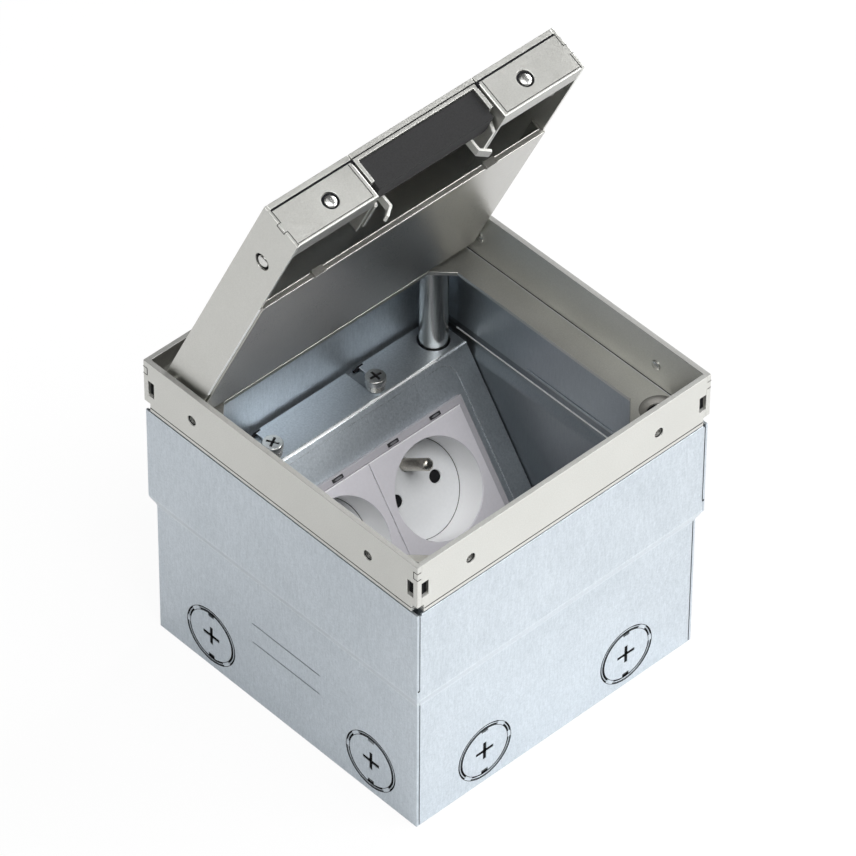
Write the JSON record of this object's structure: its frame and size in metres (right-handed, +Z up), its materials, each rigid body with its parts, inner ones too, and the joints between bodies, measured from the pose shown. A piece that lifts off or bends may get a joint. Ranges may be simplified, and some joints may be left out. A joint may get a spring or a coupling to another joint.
{
  "type": "floor socket box",
  "caption": "Square floor box in galvanised sheet with power sockets on a slope, a levelled stainless frame and a hinged lid with a cord flap.",
  "frame": {"origin": "middle of the box's footprint, on the surface that it stands on", "axes": "+Z up; +Y towards the lid's hinge; +X along the hinge, to the right seen from the front"},
  "size_m": [0.14, 0.14, 0.2439],
  "materials": {
    "galvanised_steel": "zinc coated, fine drawn grain",
    "stainless_steel": "satin ground",
    "stainless_tube": "bright drawn",
    "stainless_fasteners": "bright",
    "zinc_plated_fasteners": "bright zinc",
    "spring_steel": "bright",
    "socket_plastic": "pearl grey, satin",
    "base_plastic": "dark grey",
    "clip_plastic": "black",
    "nickel_brass": "nickel plated",
    "brass": "bright",
    "foam": "open cell foam"
  },
  "bodies": {
    "box": {"box_floor": "galvanised_steel", "box_wall_back": "galvanised_steel", "box_wall_front": "galvanised_steel", "box_wall_left": "galvanised_steel", "box_wall_right": "galvanised_steel", "carrier_brackets": "galvanised_steel", "carrier_plate": "galvanised_steel", "carrier_screws": "zinc_plated_fasteners", "earth_nut": "zinc_plated_fasteners", "earth_pins": "nickel_brass", "earth_stud": "zinc_plated_fasteners", "line_contacts": "brass", "module_support_frame": "socket_plastic", "socket_base_1": "base_plastic", "socket_base_2": "base_plastic", "socket_cover_1": "socket_plastic", "socket_cover_2": "socket_plastic", "support_frame_clips": "clip_plastic", "terminal_screws": "zinc_plated_fasteners"},
    "top_frame": {"frame_flange": "stainless_steel", "frame_set_screws": "stainless_fasteners", "frame_wall_back": "stainless_steel", "frame_wall_front": "stainless_steel", "frame_wall_left": "stainless_steel", "frame_wall_right": "stainless_steel", "hinge_pin_left": "stainless_fasteners", "hinge_pin_right": "stainless_fasteners", "levelling_tube_back_left": "stainless_tube", "levelling_tube_back_right": "stainless_tube", "levelling_tube_front_left": "stainless_tube", "levelling_tube_front_right": "stainless_tube"},
    "lid": {"hinge_block_left": "stainless_steel", "hinge_block_right": "stainless_steel", "lid_back_wall": "stainless_steel", "lid_front_left": "stainless_steel", "lid_front_right": "stainless_steel", "lid_front_rivets": "stainless_fasteners", "lid_pan": "stainless_steel", "lid_pan_clips": "spring_steel", "lid_side_left": "stainless_steel", "lid_side_right": "stainless_steel", "lid_side_rivets": "stainless_fasteners", "lid_top_plate": "stainless_steel"},
    "cord_flap": {"flap_bracket": "stainless_steel", "flap_foam": "foam", "flap_hook_left": "spring_steel", "flap_hook_right": "spring_steel", "flap_pin_left": "spring_steel", "flap_pin_right": "spring_steel", "flap_plate": "stainless_steel", "flap_spring_left": "spring_steel", "flap_spring_right": "spring_steel"},
    "levelling_screw_front_left": {"levelling_screw_front_left": "zinc_plated_fasteners"},
    "levelling_screw_front_right": {"levelling_screw_front_right": "zinc_plated_fasteners"},
    "levelling_screw_back_left": {"levelling_screw_back_left": "zinc_plated_fasteners"},
    "levelling_screw_back_right": {"levelling_screw_back_right": "zinc_plated_fasteners"}
  },
  "joints": [
    {"name": "frame_height", "type": "slide", "parent": "box", "child": "top_frame", "axis": [0, 0, 1], "range_m": [-0.0005, 0.012]},
    {"name": "lid_hinge", "type": "hinge", "parent": "top_frame", "child": "lid", "pos_m": [0, 0.0582, 0.1288], "axis": [-1, 0, 0], "range_deg": [-65.2, 30]},
    {"name": "flap_hinge", "type": "hinge", "parent": "lid", "child": "cord_flap", "pos_m": [0, 0.01307, 0.22361], "axis": [1, 0, 0], "range_deg": [0, 70], "stiffness_Nm_per_rad": 0.02, "springref_deg": -28.65},
    {"name": "levelling_turn_front_left", "type": "hinge", "parent": "box", "child": "levelling_screw_front_left", "pos_m": [-0.0601, -0.0555, 0.03], "axis": [0, 0, 1], "range_deg": [-3500, 450]},
    {"name": "levelling_turn_front_right", "type": "hinge", "parent": "box", "child": "levelling_screw_front_right", "pos_m": [0.0601, -0.0555, 0.03], "axis": [0, 0, 1], "range_deg": [-3500, 450]},
    {"name": "levelling_turn_back_left", "type": "hinge", "parent": "box", "child": "levelling_screw_back_left", "pos_m": [-0.0583, 0.0583, 0.03], "axis": [0, 0, 1], "range_deg": [-3500, 450]},
    {"name": "levelling_turn_back_right", "type": "hinge", "parent": "box", "child": "levelling_screw_back_right", "pos_m": [0.0583, 0.0583, 0.03], "axis": [0, 0, 1], "range_deg": [-3500, 450]}
  ],
  "couplings": [
    {"joint": "levelling_turn_front_left", "follows": "frame_height", "rad_per_m": -5026.5},
    {"joint": "levelling_turn_front_right", "follows": "frame_height", "rad_per_m": -5026.5},
    {"joint": "levelling_turn_back_left", "follows": "frame_height", "rad_per_m": -5026.5},
    {"joint": "levelling_turn_back_right", "follows": "frame_height", "rad_per_m": -5026.5}
  ]
}
